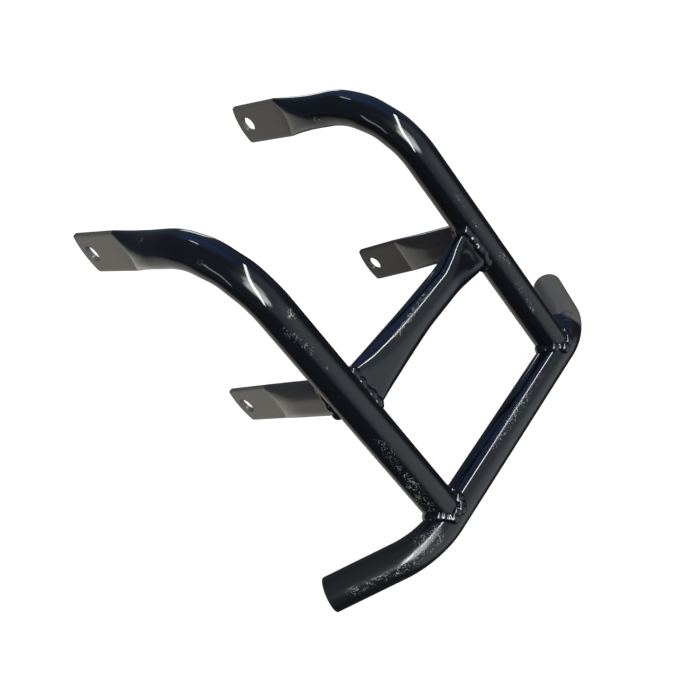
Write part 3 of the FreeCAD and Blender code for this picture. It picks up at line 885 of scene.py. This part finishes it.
# The press leaves a round, shallow dimple in the front of the left end
def dimpled(ring, x):
    c = cross
    centre = halfSpacing - legRadius - c["dimpleInset"]
    sunk = []
    for point in ring:
        rise = (point - crossMiddle).dot(alongLeg)
        front = (point - crossMiddle).dot(behindLeg) < 0
        fromEdge = math.hypot(x - centre, rise) - c["dimpleRadius"]
        share = clamp(0.5 - fromEdge / c["dimpleRim"]) if front else 0
        sunk.append(point + behindLeg * c["dimpleDepth"] * smoothStep(share))
    return sunk


def makeCross():
    reach = halfSpacing - legRadius - cross["copeStart"]
    rings = [dimpled(crossRing(x), x) for x in spread(-reach, reach, cross["rows"])]
    ends = []
    for side, ring in ((-1, rings[0]), (1, rings[-1])):
        coped = copedRing(ring, across * side, footOf(side), alongLeg,
                          legRadius - section["copeSink"])
        ends.append(between(ring, coped, cross["copeRows"]))
    rings = ends[0][::-1] + rings + ends[1]
    points = [point for ring in rings for point in ring]
    last = len(rings) - 1
    faces = capFaces(0) + capFaces(last)
    for ring in range(last):
        faces += ringFaces(ring, ring + 1)
    return addPiece("crossTube", points, faces, "cross_tube")


crossWear = (
    ((-34, -184, -112), (7, -182, -110), 4, 0.95),
    ((7, -182, -110), (34, -182, -110), 2.5, 0.7),
)
finishPiece(makeCross(), crossWear)
print("cross tube made")


# Weld beads: overlapping drops along a seam, fused into one rippled skin by a node tree
weld = {
    "bead": 4.7 * mm,
    "sink": 1.1 * mm,            # how deep the drops' middles lie in both tubes
    "pitch": 3.7 * mm,
    "unevenness": 0.17,
    "wander": 0.8 * mm,
    "skinVoxel": 0.42 * mm,
    "smoothing": 6,
    "dropDetail": 3,
    "wanderSeed": 100,           # added to a bead's seed for where its drops stray
    "footSteps": 72,
    "seamStart": 30.0 * mm,      # a seam slides onto its leg from here
    "wearRadius": 30,
    "joints": {"foot": (11, 0.2), "cross": (21, 0.15), "stay": (31, 0.15)},   # seed and wear
}


def makeBeadTree():
    tree = bpy.data.node_groups.new("weldBead", "GeometryNodeTree")
    tree.interface.new_socket("Geometry", in_out="INPUT", socket_type="NodeSocketGeometry")
    for name, kind in (("Bead", "Float"), ("Pitch", "Float"), ("Unevenness", "Float"),
                       ("Wander", "Float"), ("Skin Voxel", "Float"), ("Smoothing", "Int"),
                       ("Seed", "Int"), ("Paint", "Material")):
        tree.interface.new_socket(name, in_out="INPUT", socket_type="NodeSocket" + kind)
    tree.interface.new_socket("Geometry", in_out="OUTPUT", socket_type="NodeSocketGeometry")

    def node(kind, settings=(), **inputs):
        made = tree.nodes.new(kind)
        for name, value in settings:
            setattr(made, name, value)
        for name, value in inputs.items():
            socket = made.inputs[name.replace("_", " ")]
            if isinstance(value, bpy.types.NodeSocket):
                link(tree, value, socket)
            else:
                socket.default_value = value
        return made

    given = tree.nodes.new("NodeGroupInput").outputs
    seam = node("GeometryNodeMeshToCurve", Mesh=given["Geometry"])
    stops = node("GeometryNodeResampleCurve", (("mode", "LENGTH"),),
                 Curve=seam.outputs["Curve"], Length=given["Pitch"])
    drop = node("GeometryNodeMeshIcoSphere", Radius=1.0, Subdivisions=weld["dropDetail"])
    low = mathNode(tree, "SUBTRACT", 1, given["Unevenness"])
    high = plus(tree, 1, given["Unevenness"])
    size = node("FunctionNodeRandomValue", (("data_type", "FLOAT"),),
                Min=low, Max=high, Seed=given["Seed"])
    scale = times(tree, size.outputs["Value"], given["Bead"])
    back = times(tree, given["Wander"], -1)
    stray = node("FunctionNodeRandomValue", (("data_type", "FLOAT_VECTOR"),),
                 Min=back, Max=given["Wander"], Seed=plus(tree, given["Seed"], weld["wanderSeed"]))
    strayed = node("GeometryNodeSetPosition",
                   Geometry=stops.outputs["Curve"], Offset=stray.outputs["Value"])
    drops = node("GeometryNodeInstanceOnPoints", Points=strayed.outputs["Geometry"],
                 Instance=drop.outputs["Mesh"], Scale=scale)
    joined = node("GeometryNodeRealizeInstances", Geometry=drops.outputs["Instances"])
    # A band of one voxel leaves no stray specks inside the skin
    solid = node("GeometryNodeMeshToVolume", (("resolution_mode", "VOXEL_SIZE"),),
                 Mesh=joined.outputs["Geometry"], Voxel_Size=given["Skin Voxel"],
                 Interior_Band_Width=given["Skin Voxel"])
    skin = node("GeometryNodeVolumeToMesh", (("resolution_mode", "GRID"),),
                Volume=solid.outputs["Volume"])
    place = node("GeometryNodeInputPosition")
    eased = node("GeometryNodeBlurAttribute", (("data_type", "FLOAT_VECTOR"),),
                 Value=place.outputs["Position"], Iterations=given["Smoothing"])
    moved = node("GeometryNodeSetPosition",
                 Geometry=skin.outputs["Mesh"], Position=eased.outputs["Value"])
    smooth = node("GeometryNodeSetShadeSmooth", Geometry=moved.outputs["Geometry"])
    whole = node("GeometryNodeRealizeInstances", Geometry=smooth.outputs["Geometry"])
    painted = node("GeometryNodeSetMaterial",
                   Geometry=whole.outputs["Geometry"], Material=given["Paint"])
    output = tree.nodes.new("NodeGroupOutput")
    link(tree, painted.outputs["Geometry"], output.inputs["Geometry"])
    return tree


beadTree = makeBeadTree()


def addBead(name, seam, node, seed, wear):
    guide = bpy.data.meshes.new(name + "Seam")
    edges = [(i, (i + 1) % len(seam)) for i in range(len(seam))]
    guide.from_pydata([p[:] for p in seam], edges, [])
    drawn = bpy.data.objects.new(name + "Seam", guide)
    bpy.context.scene.collection.objects.link(drawn)
    modifier = drawn.modifiers.new("bead", "NODES")
    modifier.node_group = beadTree
    values = {"Bead": weld["bead"], "Pitch": weld["pitch"], "Unevenness": weld["unevenness"],
              "Wander": weld["wander"], "Skin Voxel": weld["skinVoxel"],
              "Smoothing": weld["smoothing"], "Seed": seed, "Paint": paintMaterial}
    for item in beadTree.interface.items_tree:
        if item.in_out == "INPUT" and item.name in values:
            modifier[item.identifier] = values[item.name]
    evaluated = drawn.evaluated_get(bpy.context.evaluated_depsgraph_get())
    mesh = bpy.data.meshes.new_from_object(evaluated)
    mesh.name = name
    mesh.shade_smooth()
    drawn.modifiers.remove(modifier)
    bpy.data.objects.remove(drawn)
    middle = sum(seam, Vector()) / len(seam) / mm
    finishPiece(placePiece(name, mesh, node), ((middle, middle, weld["wearRadius"], wear),))


# Seam where a leg stands on the bar
def footSeam(side):
    legReach, barReach = legRadius - weld["sink"], barRadius - weld["sink"]
    seam = []
    for step in range(weld["footSteps"]):
        turn = 2 * math.pi * step / weld["footSteps"]
        outward = across * math.cos(turn) + behindLeg * math.sin(turn)
        rise = math.sqrt(max(barReach ** 2 - (math.sin(turn) * legReach) ** 2, 0))
        rise = max(rise, upright["footTrim"])
        seam.append(footOf(side) + outward * legReach + alongLeg * rise)
    return seam


# Seam where a pressed tube meets a leg
def seamOnLeg(side, level, way, thickWay, wideWay, thick, wide):
    sink = weld["sink"]
    start = footOf(side) + alongLeg * level + way * weld["seamStart"]
    ring = ringAt(start, thickWay, wideWay, thick - 2 * sink, wide - 2 * sink, 1)
    return copedRing(ring, -way, footOf(side), alongLeg, legRadius - sink)


for side, hand in sides:
    crossLevel = cross["level"] - (cross["rightDrop"] if side < 0 else 0)
    seams = {
        "foot": footSeam(side),
        "cross": seamOnLeg(side, crossLevel, -across * side, behindLeg, alongLeg,
                           cross["endDepth"], cross["endWidth"]),
        "stay": seamOnLeg(side, stay["level"], stayWay, across, stayUp,
                          stay["depth"], stay["width"]),
    }
    for joint, (seed, wear) in weld["joints"].items():
        name = hand + joint.title() + "Weld"
        addBead(name, seams[joint], hand + "_" + joint + "_weld", seed + side, wear)
print("welds made")


# Studio: pale floor, a dim blue room with pale walls, and a few soft lamps
studio = {
    "floorSize": 60.0,
    "floorGap": 0.3 * mm,
    "floorShade": (0.22, 0.215, 0.205, 1),
    "floorGlow": (0.88, 0.88, 0.877, 1),
    "floorRoughness": 0.9,
    "floorGlint": 0.1,
    "ceiling": (0.10, 0.125, 0.18, 1),
    "below": (0.040, 0.046, 0.058, 1),
    "horizonFade": 0.12,
    "wallFade": (1.75, 0.35),    # squared distance from a wall's middle, from none to all of it
    "backdrop": (0.98, 0.98, 0.98, 1),
}
walls = (
    # azimuth and height of the middle, half width and half height, all in degrees, then colour
    (0, 36, 60, 24, (0.085, 0.10, 0.14, 1)),
    (92, 50, 44, 26, (0.12, 0.20, 0.40, 1)),
    (78, 62, 22, 14, (0.17, 0.29, 0.74, 1)),
    (165, 28, 36, 30, (0.52, 0.59, 0.68, 1)),
    (-156, 26, 28, 34, (0.50, 0.57, 0.64, 1)),
    (-166, 37, 13, 12, (6.0, 6.1, 6.2, 1)),
    (-149, 26, 15, 13, (10.0, 10.2, 10.4, 1)),
    (168, -30, 38, 38, (0.94, 1.02, 1.04, 1)),
    (-8, -24, 28, 27, (0.60, 0.585, 0.54, 1)),
)
lamps = (
    # name, azimuth and height of its two ends in degrees, distance, width, brightness
    ("longStrip", (112, 42), (-129, 12), 1.6, 0.13, 24.0),
    ("topLamp", (38, 66), (48, 74), 2.0, 0.10, 8.0),
    ("sideStrip", (-82, 12), (-82, 35), 2.2, 0.16, 4.0),
    ("rearLamp", (41, 12), (53, 12), 2.2, 0.45, 2.8),
)


def addFloor():
    half = studio["floorSize"] / 2
    level = cadBox[0].z - studio["floorGap"]
    corners = [(x * half, y * half, level) for x, y in ((-1, -1), (1, -1), (1, 1), (-1, 1))]
    mesh = bpy.data.meshes.new("floor")
    mesh.from_pydata(corners, [], [(0, 1, 2, 3)])
    floor = bpy.data.objects.new("floor", mesh)
    bpy.context.scene.collection.objects.link(floor)
    floor.visible_glossy = False       # the walls below it show in the paint instead
    material = bpy.data.materials.new("paleFloor")
    material.use_nodes = True
    shader = material.node_tree.nodes["Principled BSDF"]
    shader.inputs["Base Color"].default_value = studio["floorShade"]
    shader.inputs["Roughness"].default_value = studio["floorRoughness"]
    shader.inputs["Specular IOR Level"].default_value = studio["floorGlint"]
    shader.inputs["Emission Color"].default_value = studio["floorGlow"]
    shader.inputs["Emission Strength"].default_value = 1
    mesh.materials.append(material)


def wayTo(azimuth, height):
    a, e = math.radians(azimuth), math.radians(height)
    return Vector((math.sin(a) * math.cos(e), math.cos(a) * math.cos(e), math.sin(e)))


def addLamps():
    target = (cadBox[0] + cadBox[1]) / 2
    for name, first, last, distance, width, brightness in lamps:
        ends = wayTo(*first), wayTo(*last)
        way = (ends[0] + ends[1]).normalized()
        along = (ends[0] - ends[1]).normalized()
        light = bpy.data.lights.new(name, "AREA")
        light.shape = "RECTANGLE"
        light.size = 2 * distance * math.tan(ends[0].angle(ends[1]) / 2)
        light.size_y = width
        light.energy = brightness * math.pi * light.size * width
        lamp = bpy.data.objects.new(name, light)
        turn = Matrix((along, way.cross(along), way)).transposed().to_4x4()
        lamp.matrix_world = Matrix.Translation(target + way * distance) @ turn
        lamp.visible_camera = False
        bpy.context.scene.collection.objects.link(lamp)


def dotNode(tree, direction, vector):
    node = tree.nodes.new("ShaderNodeVectorMath")
    node.operation = "DOT_PRODUCT"
    link(tree, direction, node.inputs[0])
    node.inputs[1].default_value = vector
    return node.outputs["Value"]


# How far a direction lies inside a soft oval on the room's wall
def wallMask(tree, direction, azimuth, height, halfWidth, halfHeight):
    middle = wayTo(azimuth, height)
    aside = middle.cross(upward).normalized()
    above = aside.cross(middle)
    sideways = mathNode(tree, "ARCTAN2", dotNode(tree, direction, aside),
                        dotNode(tree, direction, middle))
    upwards = mathNode(tree, "ARCSINE", dotNode(tree, direction, above))
    wide = mathNode(tree, "DIVIDE", sideways, math.radians(halfWidth))
    tall = mathNode(tree, "DIVIDE", upwards, math.radians(halfHeight))
    square = plus(tree, mathNode(tree, "POWER", wide, 2), mathNode(tree, "POWER", tall, 2))
    return rangeNode(tree, square, *studio["wallFade"])


# The room shows in the paint, and the eye sees a plain pale backdrop
def addRoom():
    world = bpy.data.worlds.new("room")
    bpy.context.scene.world = world
    world.use_nodes = True
    tree = world.node_tree
    direction = tree.nodes.new("ShaderNodeTexCoord").outputs["Generated"]
    fade = studio["horizonFade"]
    horizon = rangeNode(tree, dotNode(tree, direction, upward), -fade, fade)
    shade = mixNode(tree, horizon, studio["below"], studio["ceiling"])
    for *oval, colour in walls:
        shade = mixNode(tree, wallMask(tree, direction, *oval), shade, colour)
    room = tree.nodes["Background"]
    link(tree, shade, room.inputs["Color"])
    backdrop = tree.nodes.new("ShaderNodeBackground")
    backdrop.inputs["Color"].default_value = studio["backdrop"]
    choose = tree.nodes.new("ShaderNodeMixShader")
    seen = tree.nodes.new("ShaderNodeLightPath").outputs["Is Camera Ray"]
    for socket, source in zip(choose.inputs, (seen, room.outputs[0], backdrop.outputs[0])):
        link(tree, source, socket)
    link(tree, choose.outputs[0], tree.nodes["World Output"].inputs["Surface"])


addFloor()
addLamps()
addRoom()
bpy.context.scene.view_settings.view_transform = "Standard"
print("studio made")


# Camera at the photograph's viewing angle
camera = {
    "place": (-0.3453, -0.5683, 0.1736),
    "heading": math.radians(40.2),     # from straight back towards the left side
    "tilt": math.radians(32.81),       # downwards
    "roll": math.radians(-28.08),
    "lens": 44.155,
    "sensor": 36.0,
    "shift": (-0.1143, 0.0214),
    "clip": (0.01, 200),
}


def addCamera():
    c = camera
    level = math.cos(c["tilt"])
    forward = Vector((math.sin(c["heading"]) * level, math.cos(c["heading"]) * level,
                      -math.sin(c["tilt"])))
    levelRight = forward.cross(upward).normalized()
    levelUp = levelRight.cross(forward)
    right = levelRight * math.cos(c["roll"]) + levelUp * math.sin(c["roll"])
    up = levelUp * math.cos(c["roll"]) - levelRight * math.sin(c["roll"])
    data = bpy.data.cameras.new("camera")
    data.sensor_width = c["sensor"]
    data.lens = c["lens"]
    data.shift_x, data.shift_y = c["shift"]
    data.clip_start, data.clip_end = c["clip"]
    eye = bpy.data.objects.new("camera", data)
    turn = Matrix((right, up, -forward)).transposed().to_4x4()
    eye.matrix_world = Matrix.Translation(Vector(c["place"])) @ turn
    bpy.context.scene.collection.objects.link(eye)
    bpy.context.scene.camera = eye


addCamera()
print("camera set")
